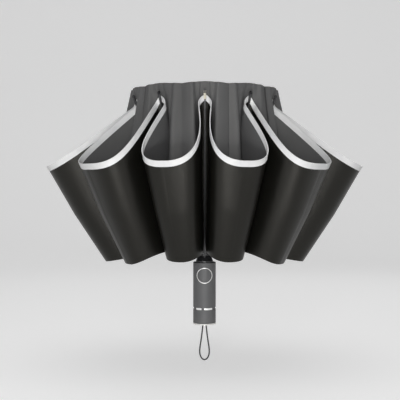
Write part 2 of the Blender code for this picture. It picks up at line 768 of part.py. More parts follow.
def sheet(name, rows_at, thick):
    """A thin closed sheet through rows of points that run round the shaft, gore by gore."""
    rows = []
    for index in range(RIB_COUNT):
        middle_angle = rib_angle(index) + GORE_ANGLE / 2
        halves = zip(rows_at(middle_angle, -1), rows_at(middle_angle, 1))
        rows.append([gore_points(first, second, middle_angle) for first, second in halves])
    bm = bmesh.new()
    rings = [[bm.verts.new(point) for gore in level for point in gore] for level in zip(*rows)]
    for low, high in zip(rings, rings[1:]):
        count = len(low)
        for index in range(count):
            after = (index + 1) % count
            bm.faces.new((low[index], low[after], high[after], high[index]))
    bmesh.ops.recalc_face_normals(bm, faces=bm.faces)
    mesh = bpy.data.meshes.new(name)
    bm.to_mesh(mesh)
    bm.free()
    obj = mesh_object(name, mesh)
    solid = obj.modifiers.new("thickness", "SOLIDIFY")
    solid.thickness = thick
    solid.offset = 0
    solid.use_even_offset = False
    return obj


def make_canopy():
    """The cloth in one piece, as sewn, and the binding round its rim."""
    finish(sheet("canopy", canopy_rows, CLOTH_THICK), CLOTH_DARK, 0.7)
    finish(sheet("rim_binding", binding_rows, BINDING_THICK), REFLECTIVE, 0.5)


# Wrist loop


def smooth_loop(route):
    """Points on a smooth closed curve through a half route and its mirror image."""
    whole = [Vector(point) for point in route]
    whole += [Vector((-x, z)) for x, z in route[-2:0:-1]]
    count = len(whole)
    points = []
    for index in range(count):
        p0, p1, p2, p3 = (whole[(index + shift) % count] for shift in (-1, 0, 1, 2))
        for step in range(CORD_STEPS):
            s = step / CORD_STEPS
            points.append(
                0.5 * (2 * p1 + (p2 - p0) * s + (2 * p0 - 5 * p1 + 4 * p2 - p3) * s ** 2
                       + (3 * p1 - 3 * p2 + p3 - p0) * s ** 3)
            )
    return points[::2]


def make_loop():
    """The pin across the recess, from front to back, and the cord loop that hangs on it."""
    length = 2 * (RECESS_R - SEAT_GAP)
    turn = Matrix.Rotation(math.pi / 2, 4, "X")
    pin = rod("loop_pin", PIN_R, length, Vector((0, 0, PIN_Z)), turn)
    finish(pin, STEEL, 0.3, 1.0)
    curve = bpy.data.curves.new("wrist_loop", "CURVE")
    curve.dimensions = "3D"
    curve.bevel_depth = CORD_R
    curve.bevel_resolution = 2
    points = smooth_loop(LOOP_ROUTE_MM)
    spline = curve.splines.new("POLY")
    spline.points.add(len(points) - 1)
    for point, place in zip(spline.points, points):
        point.co = (place.x * MM, 0, place.y * MM, 1)
    spline.use_cyclic_u = True
    obj = mesh_object("wrist_loop", curve)
    obj.location = (0, 0, PIN_Z)
    finish(obj, CORD_GREY, 0.8)


def main():
    """Build every piece."""
    make_grip()
    make_end()
    make_plate("band_plate_short", PLATE_SHORT_START, PLATE_SHORT_END)
    make_plate("band_plate_long", PLATE_LONG_START, PLATE_LONG_END)
    make_button()
    make_collar()
    make_shaft()
    make_crown()
    make_runner()
    for index in range(RIB_COUNT):
        make_rib(index)
    make_canopy()
    make_loop()


main()
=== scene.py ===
import json
import math

import bmesh
import bpy
from mathutils import Matrix, Vector


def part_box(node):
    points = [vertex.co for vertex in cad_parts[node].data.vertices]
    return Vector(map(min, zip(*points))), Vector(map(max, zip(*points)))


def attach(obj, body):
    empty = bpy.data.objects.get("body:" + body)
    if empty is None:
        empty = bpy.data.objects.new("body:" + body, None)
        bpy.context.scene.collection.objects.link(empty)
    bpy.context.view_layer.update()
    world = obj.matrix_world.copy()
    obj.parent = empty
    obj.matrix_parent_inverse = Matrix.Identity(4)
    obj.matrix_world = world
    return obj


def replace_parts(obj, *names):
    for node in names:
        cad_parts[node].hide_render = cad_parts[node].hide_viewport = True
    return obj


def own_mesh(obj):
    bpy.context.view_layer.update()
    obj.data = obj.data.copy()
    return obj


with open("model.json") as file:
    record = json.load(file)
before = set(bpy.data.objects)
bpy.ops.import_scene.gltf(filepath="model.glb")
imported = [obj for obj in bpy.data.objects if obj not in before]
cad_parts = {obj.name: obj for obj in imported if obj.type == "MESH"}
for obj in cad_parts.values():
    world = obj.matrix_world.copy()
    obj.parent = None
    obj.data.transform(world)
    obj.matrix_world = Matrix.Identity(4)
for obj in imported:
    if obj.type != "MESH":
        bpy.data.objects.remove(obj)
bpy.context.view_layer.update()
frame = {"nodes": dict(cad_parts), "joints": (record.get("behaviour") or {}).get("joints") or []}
NODES = frame["nodes"]
JOINTS = {joint["name"]: joint for joint in frame["joints"]}
MM = 0.001

# What the frame says
RIB_COUNT = sum(name.startswith("outer_rib_") for name in NODES)
GORE_ANGLE = 2 * math.pi / RIB_COUNT
HALF_GORE = GORE_ANGLE / 2
FRONT_ANGLE = -math.pi / 2


def joint_spot(name):
    """Radius and height of a rib's joint."""
    x, y, z = JOINTS[name]["pos_m"]
    return math.hypot(x, y), z


SHOULDER_R, SHOULDER_Z = joint_spot("middle_rib_0_hinge")
JOINT_R, JOINT_Z = joint_spot("outer_rib_0_hinge")
CAP_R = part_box("crown_cap")[1].x
CROWN_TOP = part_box("crown")[1].z

# Sizes that the cloth shares with the part. The lobes hang in an oval plan, so a power of the sine or cosine
# of their direction says how near they lie to the front and back, or to the two sides.
ELBOW_R = JOINT_R + 9.0 * MM
ELBOW_Z = JOINT_Z - 4.0 * MM
TIP_R = SHOULDER_R + 7.6 * MM
TIP_Z = SHOULDER_Z - 7.0 * MM
CLOTH_CLEAR = 2.9 * MM
TAPE_W = 8.5 * MM
TAPE_LAP = 2.5 * MM
RIM_Z = TIP_Z - 4.0 * MM
SEAM_LOW_Z = JOINT_Z + 10.0 * MM
WALL_RIB_Z = 230.0 * MM
SHOULDER_RISE = 6.4 * MM
SHOULDER_OUT = 6.0 * MM
SHOULDER_FOLD_SHARE = 0.25
POCKET_GAP = 3.2 * MM
HAIRPIN_BASE = 2.0 * MM
HAIRPIN_SHARE = 0.064
HAIRPIN_REACH_SHARE = 0.5
HAIRPIN_ROUND_SHARE = 0.6
TURN_SHARE = 0.16
NEAR_POWER = 6
SIDE_POWER = 8
LOBE_LEAN = 7.0 * MM
LOBE_LIFT = 14.0 * MM
LOBE_SAG = 1.0 * MM
LOBE_DIP = 7.0 * MM
FOOT_LIFT = 4.0 * MM
FOOT_SLANT = 9.0 * MM
SIDE_NARROW_SHARE = 0.35

# Folds of the cloth at the middle of a gore, as radius and height, at the sides and at the front
SHOULDER_MID = ((SHOULDER_R + 5.0 * MM, SHOULDER_Z + 4.5 * MM),) * 2
WALL_MID = ((133.0 * MM, 232.0 * MM), (108.0 * MM, 232.0 * MM))
FOOT_MID = ((148.0 * MM, 94.5 * MM), (112.0 * MM, 104.5 * MM))
FOOT_W = 6.0 * MM
TIP_MID = ((235.0 * MM, 236.0 * MM), (160.0 * MM, 241.5 * MM))
OUTER_BULGE = 3.0 * MM
LOBE_HALF_W = 78.0 * MM
FOOT_HALF_W = 42.0 * MM
WALL_HALF_W = 35.0 * MM

# The hole of the cloth round the cap
HOLE_CLEAR = 0.6 * MM
HOLE_RISE = 0.7 * MM
HOLE_HALF_W = 3 * MM
HOLE_STEP = 0.01 * MM

# What the scene's cloth has beyond the part's: a thickness of its own, narrow necks beside the ribs, a rim
# that drops there, rims that tilt at the two sides, a crease and a pleat in each gore, and flaps that close
# the gaps between the strips as the ribs fold
CLOTH_THICK = 0.5 * MM
TAPE_THICK = 1.1 * MM
HANDLE_SHARE = 0.72
OUTWARD_HANDLE_LESS = 0.3
LOBE_PINCH = math.radians(7)
RIM_ARCH = 6.0 * MM
SIDE_TILT = 7.5 * MM
CREASE_DEPTH = 3.0 * MM
CREASE_W_SHARE = 0.1
PLEAT_HEIGHT = 7.0 * MM
PLEAT_OUTWARD_SPOT = 0.84
PLEAT_INWARD_SPOT = 0.6
PLEAT_GENTLE_SHARE = 0.3
PLEAT_STEEP_SHARE = 0.1
PLEAT_MIDDLE_LOSS = 0.7
PLEAT_MIDDLE_POWER = 8
PLEAT_AT_SHOULDER = 0.5
FLAP_SHARE = 0.055
FLAP_TUCK = 0.8 * MM
SHARP_ANGLE = math.radians(60)

# Each strip of cloth: steps from row to row, and columns on each side of the rib
WELL_STEPS = (14,)
INNER_STEPS = (14, 10)
OUTER_STEPS = (4, 10, 10)
TAPE_STEPS = (3,)
WELL_COLUMNS = 36
INNER_COLUMNS = 36
OUTER_COLUMNS = 24
TAPE_COLUMNS = 36

# Pins at the rib ends: outline as radius and height, and how far down the rib they sit
TIP_OUTLINE_MM = (
    (0.0, -5.0), (1.5, -4.6), (1.75, -3.5), (1.75, 3.4), (1.3, 4.0),
    (1.3, 5.4), (1.7, 6.4), (1.2, 7.4), (0.0, 7.8),
)
TIP_FACETS = 16
TIP_SINK = 6.5 * MM

# Wrist loop: one half of its route, across and up from the pin it hangs on
PIN_Z = 3.4 * MM
CORD_R = 1.1 * MM
CORD_STEPS = 6
LOOP_ROUTE_MM = (
    (0.6, 2.4), (2.4, 0.0), (2.5, -5.0), (3.1, -12.0), (4.8, -26.0),
    (7.0, -41.0), (6.9, -49.0), (4.4, -55.4), (0.0, -58.0),
)

# Camera and stage, in metres
CAMERA_SPOT = Vector((-0.00675, -1.2, 0.214))
CAMERA_AIM = Vector((-0.00675, 0.0, 0.186))
CAMERA_LENS_MM = 72
SENSOR_MM = 36
FLOOR_Z = -0.075
FLOOR_FRONT_Y = -3.0
FLOOR_BACK_Y = 1.4
FLOOR_HALF_W = 5.0
BACKDROP_BEND = 1.0
BACKDROP_BEND_STEPS = 12
BACKDROP_TOP = 3.5
BACKDROP_COLOUR = (0.7, 0.7, 0.7)
BACKDROP_GLOW = 0.47
WORLD_COLOUR = (0.85, 0.85, 0.86, 1)
WORLD_LIGHT = 0.12
WORLD_GLOW = 0.58

# Lights: name, spot, aim, width and height, power in watts
PART_MIDDLE = (0, 0, 0.2)
LIGHTS = (
    ("front_light", (-0.12, -1.8, 0.42), PART_MIDDLE, (0.34, 0.95), 11.8),
    ("top_light", (0.0, -0.4, 1.8), PART_MIDDLE, (1.4, 1.4), 8.6),
    ("low_light", (-0.03, -0.8, -0.05), (0, 0, 0.18), (0.7, 0.07), 2.4),
    ("left_light", (-1.6, -0.9, 0.1), PART_MIDDLE, (0.3, 0.5), 2.5),
    ("right_light", (1.6, -0.9, 0.1), PART_MIDDLE, (0.3, 0.5), 2.2),
    ("back_light", (0.2, 1.25, 0.75), PART_MIDDLE, (1.2, 0.6), 1.5),
)


# Small helpers


def rib_angle(index):
    """Direction of a rib round the shaft."""
    return FRONT_ANGLE + index * GORE_ANGLE


def from_bmesh(name, bm):
    """Turn a bmesh into a smooth object in the scene."""
    mesh = bpy.data.meshes.new(name)
    bm.to_mesh(mesh)
    bm.free()
    mesh.shade_smooth()
    obj = bpy.data.objects.new(name, mesh)
    bpy.context.scene.collection.objects.link(obj)
    return obj


def bezier(controls, share):
    """Point on a cubic Bezier."""
    a, b, c, d = controls
    rest = 1 - share
    return rest ** 3 * a + 3 * rest ** 2 * share * b + 3 * rest * share ** 2 * c + share ** 3 * d


def mix(one, two, share):
    """Values between two tuples of numbers."""
    return tuple(a + (b - a) * share for a, b in zip(one, two))


# Materials

# The wave texture repeats about every third of a unit at scale 1
WAVE_PERIOD = 1 / 3
WEAVE_SKEW = 0.3


class Shader:
    """A Principled material that is built up node by node."""

    def __init__(self, name, colour, roughness, metallic=0.0, specular=0.5):
        self.material = bpy.data.materials.new(name)
        self.material.use_nodes = True
        self.tree = self.material.node_tree
        self.principled = self.tree.nodes["Principled BSDF"]
        self.set("Base Color", (*colour, 1.0))
        self.set("Roughness", roughness)
        self.set("Metallic", metallic)
        self.set("Specular IOR Level", specular)
        self.place = self.node("ShaderNodeTexCoord").outputs["Object"]
        self.height = None

    def set(self, socket, value):
        self.principled.inputs[socket].default_value = value

    def node(self, kind, **values):
        made = self.tree.nodes.new(kind)
        for key, value in values.items():
            setattr(made, key, value)
        return made

    def link(self, output, target):
        self.tree.links.new(output, target)

    def noise(self, scale, detail=3.0, stretch=(1, 1, 1)):
        """Noise in object space, from 0 to 1."""
        move = self.node("ShaderNodeMapping")
        move.inputs["Scale"].default_value = stretch
        self.link(self.place, move.inputs["Vector"])
        made = self.node("ShaderNodeTexNoise")
        made.inputs["Scale"].default_value = scale
        made.inputs["Detail"].default_value = detail
        self.link(move.outputs["Vector"], made.inputs["Vector"])
        return made.outputs["Fac"]

    def weave(self, pitch, turn=0.0):
        """Two crossed waves, one for each way that the threads run."""
        total = None
        for axis in (0, math.pi / 2):
            move = self.node("ShaderNodeMapping")
            move.inputs["Rotation"].default_value = (WEAVE_SKEW, turn + axis, turn)
            self.link(self.place, move.inputs["Vector"])
            wave = self.node("ShaderNodeTexWave")
            wave.inputs["Scale"].default_value = WAVE_PERIOD / pitch
            self.link(move.outputs["Vector"], wave.inputs["Vector"])
            if total is None:
                total = wave.outputs["Fac"]
            else:
                add = self.node("ShaderNodeMath", operation="ADD")
                self.link(total, add.inputs[0])
                self.link(wave.outputs["Fac"], add.inputs[1])
                total = add.outputs[0]
        return total

    def colours(self, factor, low, high, start=0.3, end=0.7):
        """Colour the surface by a factor, between two colours."""
        ramp = self.node("ShaderNodeValToRGB")
        ramp.color_ramp.elements[0].position = start
        ramp.color_ramp.elements[1].position = end
        ramp.color_ramp.elements[0].color = (*low, 1.0)
        ramp.color_ramp.elements[1].color = (*high, 1.0)
        self.link(factor, ramp.inputs["Fac"])
        self.link(ramp.outputs["Color"], self.principled.inputs["Base Color"])

    def roughness(self, factor, low, high):
        """Vary the roughness by a factor."""
        spread = self.node("ShaderNodeMapRange")
        spread.inputs["To Min"].default_value = low
        spread.inputs["To Max"].default_value = high
        self.link(factor, spread.inputs["Value"])
        self.link(spread.outputs["Result"], self.principled.inputs["Roughness"])

    def bump(self, factor, depth, strength=1.0):
        """Raise the surface by a factor. Bumps add up."""
        made = self.node("ShaderNodeBump")
        made.inputs["Distance"].default_value = depth
        made.inputs["Strength"].default_value = strength
        self.link(factor, made.inputs["Height"])
        if self.height is not None:
            self.link(self.height, made.inputs["Normal"])
        self.height = made.outputs["Normal"]
        self.link(self.height, self.principled.inputs["Normal"])


def cloth_material(name, low, high, roughness, specular):
    """Fine woven cloth with slow changes of tone and soft creases."""
    shader = Shader(name, high, roughness, specular=specular)
    shader.set("Specular Tint", (1.0, 0.97, 0.9, 1.0))
    slow = shader.noise(9.0, 4.0, (1, 1, 0.35))
    shader.colours(slow, low, high)
    shader.roughness(shader.noise(60.0), roughness - 0.05, roughness + 0.06)
    shader.bump(shader.noise(26.0, 3.0, (1, 1, 0.25)), 0.9 * MM, 0.5)
    shader.bump(shader.weave(0.55 * MM), 0.04 * MM, 0.5)
    return shader.material


def tape_material():
    """Reflective tape: pale, with a fine grain."""
    shader = Shader("reflective_tape", (0.78, 0.78, 0.78), 0.42)
    shader.colours(shader.noise(40.0), (0.72, 0.72, 0.73), (0.84, 0.84, 0.83))
    shader.roughness(shader.noise(300.0), 0.36, 0.5)
    shader.bump(shader.noise(900.0, 2.0), 0.05 * MM, 0.4)
    return shader.material


def grip_material():
    """Soft-touch plastic with a very fine grain."""
    shader = Shader("soft_grip", (0.10, 0.10, 0.102), 0.55)
    shader.colours(shader.noise(30.0), (0.095, 0.096, 0.098), (0.112, 0.112, 0.114))
    shader.roughness(shader.noise(220.0), 0.48, 0.6)
    shader.bump(shader.noise(1400.0, 2.0), 0.03 * MM, 0.35)
    return shader.material


def plastic_material(name, colour, roughness):
    """Moulded plastic with a slight unevenness."""
    shader = Shader(name, colour, roughness)
    shader.colours(shader.noise(50.0), colour, tuple(part * 1.25 for part in colour))
    shader.roughness(shader.noise(180.0), roughness - 0.06, roughness + 0.08)
    shader.bump(shader.noise(700.0, 2.0), 0.02 * MM, 0.3)
    return shader.material


def metal_material(name, colour, roughness, stretch=(1, 1, 1), metallic=1.0):
    """Metal with fine brush marks along one way."""
    shader = Shader(name, colour, roughness, metallic)
    marks = shader.noise(500.0, 2.0, stretch)
    shader.colours(shader.noise(45.0), tuple(part * 0.9 for part in colour), colour)
    shader.roughness(marks, roughness * 0.8, roughness * 1.3)
    shader.bump(marks, 0.01 * MM, 0.3)
    return shader.material


def cord_material():
    """Braided cord: crossed threads at a fine pitch."""
    shader = Shader("braided_cord", (0.045, 0.045, 0.047), 0.75)
    shader.colours(shader.weave(0.9 * MM, 0.8), (0.03, 0.03, 0.032), (0.065, 0.065, 0.068), 0.2, 1.0)
    shader.bump(shader.weave(0.9 * MM, 0.8), 0.12 * MM, 0.8)
    return shader.material


DRY_CLOTH = cloth_material("dry_cloth", (0.0030, 0.0029, 0.0023), (0.0055, 0.0053, 0.0043), 0.36, 0.30)
WET_CLOTH = cloth_material("wet_cloth", (0.080, 0.080, 0.081), (0.120, 0.120, 0.121), 0.55, 0.3)
TAPE = tape_material()
GRIP = grip_material()
BLACK = plastic_material("black_plastic", (0.010, 0.010, 0.011), 0.3)
TRIM = plastic_material("light_trim", (0.68, 0.67, 0.65), 0.35)
# Painted highlight: a pale cream colour that stands in for the light on the front rib's tip. The other tips
# are the same part and keep the dark rib steel.
FRONT_TIP_HIGHLIGHT_PAINT = plastic_material("cream_pin", (0.62, 0.58, 0.47), 0.4)
CHROME = metal_material("bright_metal", (0.9, 0.9, 0.89), 0.45, (1, 1, 12), 0.45)
STEEL = metal_material("shaft_steel", (0.62, 0.62, 0.63), 0.28, (12, 12, 1))
RIB_STEEL = metal_material("rib_steel", (0.06, 0.06, 0.062), 0.45, (12, 12, 1))
CORD = cord_material()


# Pieces of the frame that keep their shape

NODE_LOOKS = {
    "grip_shell": GRIP, "button": GRIP, "grip_end_ring": TRIM, "grip_end_cap": BLACK,
    "band_plate_short": CHROME, "band_plate_long": CHROME, "button_ring": CHROME, "loop_pin": CHROME,
    "grip_collar": BLACK, "crown": BLACK, "crown_cap": BLACK, "runner": BLACK,
    "shaft_lower_tube": STEEL, "shaft_middle_tube": STEEL, "shaft_upper_tube": STEEL,
}


def dress_nodes():
    """Give the CAD nodes that stay their materials."""
    for name, node in NODES.items():
        node.data.materials.clear()
        node.data.materials.append(NODE_LOOKS.get(name, RIB_STEEL))


# Cloth


def seam_inner(height):
    """Radius of the seam just outside the middle rib, at a height."""
    share = (height - JOINT_Z) / (SHOULDER_Z - JOINT_Z)
    slope = math.hypot(SHOULDER_R - JOINT_R, SHOULDER_Z - JOINT_Z) / (SHOULDER_Z - JOINT_Z)
    return JOINT_R + share * (SHOULDER_R - JOINT_R) + CLOTH_CLEAR * slope


def seam_outer(height):
    """Radius of the seam just inside the outer rib, at a height."""
    share = (height - ELBOW_Z) / (TIP_Z - ELBOW_Z)
    slope = math.hypot(TIP_R - ELBOW_R, TIP_Z - ELBOW_Z) / (TIP_Z - ELBOW_Z)
    return ELBOW_R + share * (TIP_R - ELBOW_R) - CLOTH_CLEAR * slope


def oval(side, front, azimuth):
    """A size that goes from its side value to its front value and back, round the shaft, as in an oval."""
    return 1 / math.hypot(math.cos(azimuth) / side, math.sin(azimuth) / front)


def middle(spots, azimuth):
    """Radius and height of a fold's middle, at an azimuth."""
    return tuple(oval(side, front, azimuth) for side, front in zip(*spots))


def nearness(azimuth):
    """How close a lobe lies to the front or back, from 0 to 1."""
    return math.sin(azimuth) ** NEAR_POWER


def sideness(azimuth):
    """How close a lobe lies to one of the two sides, from 0 to 1."""
    return math.cos(azimuth) ** SIDE_POWER


def outwardness(azimuth, side):
    """Above 0 on the half of a lobe that lies further from the front and back, below 0 on the other."""
    return -math.copysign(side, math.sin(2 * azimuth) * side)


def rim_slant(azimuth, side):
    """Lean and lift of half a lobe at its rim. side says which of the lobe's two ribs it hangs from.

    The lobes near the front and back lean towards the sides of the canopy and hang lower there. The
    lobes at the two sides hang lower on their half towards the front.
    """
    near = nearness(azimuth)
    outward = outwardness(azimuth, side)
    if outward > 0:
        lift = -LOBE_SAG * near
    else:
        lift = LOBE_LIFT * near - LOBE_DIP * math.sin(2 * azimuth) ** 2
    lift += math.copysign(SIDE_TILT * sideness(azimuth), math.sin(azimuth + side * HALF_GORE))
    return LOBE_LEAN * outward * near, lift


def foot_slant(azimuth, side):
    """Lean and lift of half a lobe at its foot, which is rounded, and higher on its inward half."""
    lift = FOOT_LIFT * nearness(azimuth)
    if outwardness(azimuth, side) < 0:
        lift += FOOT_SLANT * math.sin(2 * azimuth) ** 2
    return 0.0, lift


def row(seam, mid, half_w, extra=0.0, lobe=1.0, slant=(0.0, 0.0), arch=0.0, handle=HANDLE_SHARE):
    """The values of one row of the fold, between the rib's seam and the gore's middle.

    half_w is how far the fold swells sideways, extra widens the hairpin at the rib, lobe is how far the
    cloth goes from lying flat (0) to its folded shape (1), arch is how far it drops beside the rib, and
    handle is how far out it keeps along the rib before it swells.
    """
    return (*seam, *mid, half_w, extra, lobe, *slant, arch, handle)


def swell(half_w, spots, azimuth):
    """How far a fold swells sideways, in step with its reach. The lobes at the two sides are slimmer."""
    slim = 1 - SIDE_NARROW_SHARE * sideness(azimuth)
    return half_w * slim * middle(spots, azimuth)[0] / spots[0][0]


def rim_row(azimuth, side, depth):
    """A row of the outer wall at a distance below the rim."""
    seam = Vector((seam_outer(RIM_Z), RIM_Z))
    tip = Vector(middle(TIP_MID, azimuth))
    seam_down = (Vector((seam_outer(SEAM_LOW_Z), SEAM_LOW_Z)) - seam).normalized()
    tip_down = (Vector(middle(FOOT_MID, azimuth)) - tip).normalized()
    half_w = swell(LOBE_HALF_W, TIP_MID, azimuth)
    slant = rim_slant(azimuth, side)
    handle = HANDLE_SHARE
    if outwardness(azimuth, side) > 0:
        handle -= OUTWARD_HANDLE_LESS * nearness(azimuth)
    seam += seam_down * depth
    tip += tip_down * depth
    return row(seam, tip, half_w, slant=slant, arch=RIM_ARCH, handle=handle)


def well_rows(azimuth, side):
    """Rows from the cap out to the shoulder."""
    hole = (CAP_R + HOLE_CLEAR, CROWN_TOP + HOLE_RISE)
    shoulder = (SHOULDER_R + SHOULDER_OUT, SHOULDER_Z + SHOULDER_RISE)
    return [
        row(hole, (hole[0] + HOLE_STEP, hole[1]), HOLE_HALF_W, lobe=0),
        row(shoulder, middle(SHOULDER_MID, azimuth), WALL_HALF_W, POCKET_GAP, SHOULDER_FOLD_SHARE),
    ]


def inner_rows(azimuth, side):
    """Rows down the inner wall, from the shoulder to the foot."""
    slant = foot_slant(azimuth, side)
    foot_r, foot_z = middle(FOOT_MID, azimuth)
    foot_in = (foot_r - FOOT_W, foot_z + FOOT_W / 2)
    wall_seam = (seam_inner(WALL_RIB_Z), WALL_RIB_Z)
    wall_half_w = swell(WALL_HALF_W, WALL_MID, azimuth)
    low_seam = (seam_inner(SEAM_LOW_Z), SEAM_LOW_Z)
    foot_half_w = swell(FOOT_HALF_W, FOOT_MID, azimuth) - POCKET_GAP
    return [
        well_rows(azimuth, side)[-1],
        row(wall_seam, middle(WALL_MID, azimuth), wall_half_w, POCKET_GAP),
        row(low_seam, foot_in, foot_half_w, POCKET_GAP, slant=slant),
    ]


def outer_rows(azimuth, side):
    """Rows up the outer wall, from the inner side of the foot to the tape."""
    low_seam = (seam_outer(SEAM_LOW_Z), SEAM_LOW_Z)
    half_w = swell(FOOT_HALF_W, FOOT_MID, azimuth)
    foot = row(low_seam, middle(FOOT_MID, azimuth), half_w, slant=foot_slant(azimuth, side))
    seam_r, seam_z, mid_r, *others = mix(foot, rim_row(azimuth, side, 0), 0.5)
    halfway = (seam_r, seam_z, mid_r + OUTER_BULGE, *others)
    return [inner_rows(azimuth, side)[-1], foot, halfway, rim_row(azimuth, side, TAPE_W - TAPE_LAP)]


def tape_rows(azimuth, side):
    """Rows of the tape at the rim."""
    return [rim_row(azimuth, side, TAPE_W), rim_row(azimuth, side, 0)]


def fold_point(values, share):
    """Point of a row at a share of the way from the rib's seam to the gore's middle.

    X is along the middle of the gore, and the rib lies on the side of negative Y.
    """
    seam_r, seam_z, mid_r, mid_z, half_w, extra, lobe, lean, lift, arch, handle_share = values
    out = Vector((math.cos(HALF_GORE), -math.sin(HALF_GORE)))
    side = Vector((math.sin(HALF_GORE), math.cos(HALF_GORE)))
    pinched = Vector((math.cos(HALF_GORE + LOBE_PINCH), -math.sin(HALF_GORE + LOBE_PINCH)))
    hairpin = HAIRPIN_BASE + HAIRPIN_SHARE * seam_r + extra
    start = out * seam_r
    bend = out * (seam_r + HAIRPIN_REACH_SHARE * hairpin * lobe) + side * hairpin
    end = Vector((mid_r, -lean))
    if share < TURN_SHARE:
        reach = HAIRPIN_ROUND_SHARE * hairpin
        folded = bezier((start, start + side * reach, bend - pinched * reach, bend), share / TURN_SHARE)
    else:
        handle = handle_share * (mid_r - bend.x)
        along = (share - TURN_SHARE) / (1 - TURN_SHARE)
        folded = bezier((bend, bend + pinched * handle, end - Vector((0, half_w)), end), along)
    angle = -HALF_GORE * (1 - share)
    radius = seam_r + (mid_r - seam_r) * share
    plain = radius * Vector((math.cos(angle), math.sin(angle)))
    spot = plain.lerp(folded, lobe)
    slanted = max(0, lobe - SHOULDER_FOLD_SHARE) / (1 - SHOULDER_FOLD_SHARE)
    rise = share + ((spot.x - start.x) / (mid_r - start.x) - share) * slanted
    lifted = lift * math.sin(math.pi * share) ** 2
    arched = arch * math.sin(math.pi / 2 * min(1, share / TURN_SHARE)) ** 2 * (1 - share)
    return Vector((spot.x, spot.y, seam_z + (mid_z - seam_z) * rise + lifted - arched))


def cloth_strip(name, rib, rows_at, steps, columns, shift=None, flap=False):
    """The cloth within half a gore of a rib, on both sides of it, through the rows that rows_at gives.

    steps counts the steps from row to row, and shift moves each point off the plain fold. A flap goes on
    behind the next strip, and closes the gap that opens between the two as the ribs fold.
    """
    bm = bmesh.new()
    grid = []
    sides = [(-1, 1 - index / columns) for index in range(columns)]
    sides += [(1, index / columns) for index in range(columns + 1)]
    if flap:
        sides += [(1, 1 + FLAP_SHARE / 4), (1, 1 + FLAP_SHARE)]
    keys = {side: rows_at(rib_angle(rib) + side * HALF_GORE, -side) for side in (-1, 1)}
    for index, count in enumerate(steps):
        for step in range(count + (index == len(steps) - 1)):
            line = []
            for side, share in sides:
                values = mix(keys[side][index], keys[side][index + 1], step / count)
                point = fold_point(values, share)
                if shift is not None:
                    point += shift(index + step / count, share, side, rib, point)
                if share > 1:
                    point.x -= FLAP_TUCK
                point.y *= side
                turn = Matrix.Rotation(rib_angle(rib) + side * HALF_GORE, 3, "Z")
                line.append(bm.verts.new(turn @ point))
            grid.append(line)
    for low, high in zip(grid, grid[1:]):
        for index in range(len(low) - 1):
            bm.faces.new((low[index], low[index + 1], high[index + 1], high[index]))
    return from_bmesh(name, bm)


def pleat(share, side, rib, point):
    """Slack of the cloth over a gore: a crease down its middle, and a pleat with one steep side."""
    crease = CREASE_DEPTH * math.exp(-(((1 - share) / CREASE_W_SHARE) ** 2))
    azimuth = rib_angle(rib) + side * HALF_GORE
    away = share - (PLEAT_OUTWARD_SPOT if outwardness(azimuth, -side) > 0 else PLEAT_INWARD_SPOT)
    wide = PLEAT_GENTLE_SHARE if away > 0 else PLEAT_STEEP_SHARE
    kept = 1 - PLEAT_MIDDLE_LOSS * share ** PLEAT_MIDDLE_POWER
    raised = PLEAT_HEIGHT * math.exp(-((away / wide) ** 2)) * kept
    outward = Vector((point.x, point.y, 0)).normalized()
    return outward * (raised - crease)


def well_pleat(level, share, side, rib, point):
    """The pleats start at the middle of the well and grow towards the shoulder."""
    return pleat(share, side, rib, point) * PLEAT_AT_SHOULDER * level ** 2


def wall_pleat(level, share, side, rib, point):
    """The pleats go on down the inner wall and end at the foot."""
    fade = min(1, PLEAT_AT_SHOULDER + level) * max(0, 1 - (level / 2) ** 3)
    return pleat(share, side, rib, point) * fade


def finish_cloth(obj, front, back, thick):
    """Give a strip its thickness and its two faces."""
    obj.data.materials.append(front)
    obj.data.materials.append(back)
    solid = obj.modifiers.new("thickness", "SOLIDIFY")
    solid.thickness = thick
    solid.offset = 0
    solid.material_offset = 1
    solid.material_offset_rim = 1
    mesh = bpy.data.meshes.new_from_object(obj.evaluated_get(bpy.context.evaluated_depsgraph_get()))
    obj.modifiers.remove(solid)
    obj.data = mesh
    mesh.shade_smooth()
    mesh.set_sharp_from_angle(angle=SHARP_ANGLE)


def crumple(obj):
    """Give a strip a mesh of its own."""
    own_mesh(obj)


def make_well(rib):
    """The cloth over one arm, from the cap to the shoulder."""
    obj = cloth_strip(f"cloth_well_{rib}", rib, well_rows, WELL_STEPS, WELL_COLUMNS, well_pleat)
    finish_cloth(obj, WET_CLOTH, DRY_CLOTH, CLOTH_THICK)
    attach(obj, f"arm_{rib}")
    crumple(obj)
    return obj


def make_inner_wall(rib):
    """The cloth down one middle rib, from the shoulder to the foot."""
    name = f"cloth_inner_{rib}"
    obj = cloth_strip(name, rib, inner_rows, INNER_STEPS, INNER_COLUMNS, wall_pleat, flap=True)
    finish_cloth(obj, DRY_CLOTH, WET_CLOTH, CLOTH_THICK)
    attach(obj, f"middle_rib_{rib}")
    crumple(obj)
    return obj


def make_outer_wall(rib):
    """The cloth up one outer rib, from the foot to the tape."""
    obj = cloth_strip(f"cloth_outer_{rib}", rib, outer_rows, OUTER_STEPS, OUTER_COLUMNS, flap=True)
    finish_cloth(obj, DRY_CLOTH, WET_CLOTH, CLOTH_THICK)
    make_tape(rib)
    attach(obj, f"outer_rib_{rib}")
    return obj


def make_tape(rib):
    """The reflective tape on the rim beside one rib."""
    obj = cloth_strip(f"rim_tape_{rib}", rib, tape_rows, TAPE_STEPS, TAPE_COLUMNS)
    finish_cloth(obj, TAPE, TAPE, TAPE_THICK)
    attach(obj, f"outer_rib_{rib}")
    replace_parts(obj, "rim_binding")
    return obj


def make_cloth():
    """All the cloth, in the pieces that the ribs carry."""
    makers = (make_well, make_inner_wall, make_outer_wall)
    for rib in range(RIB_COUNT):
        for maker in makers:
            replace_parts(maker(rib), "canopy")


# Rib tips


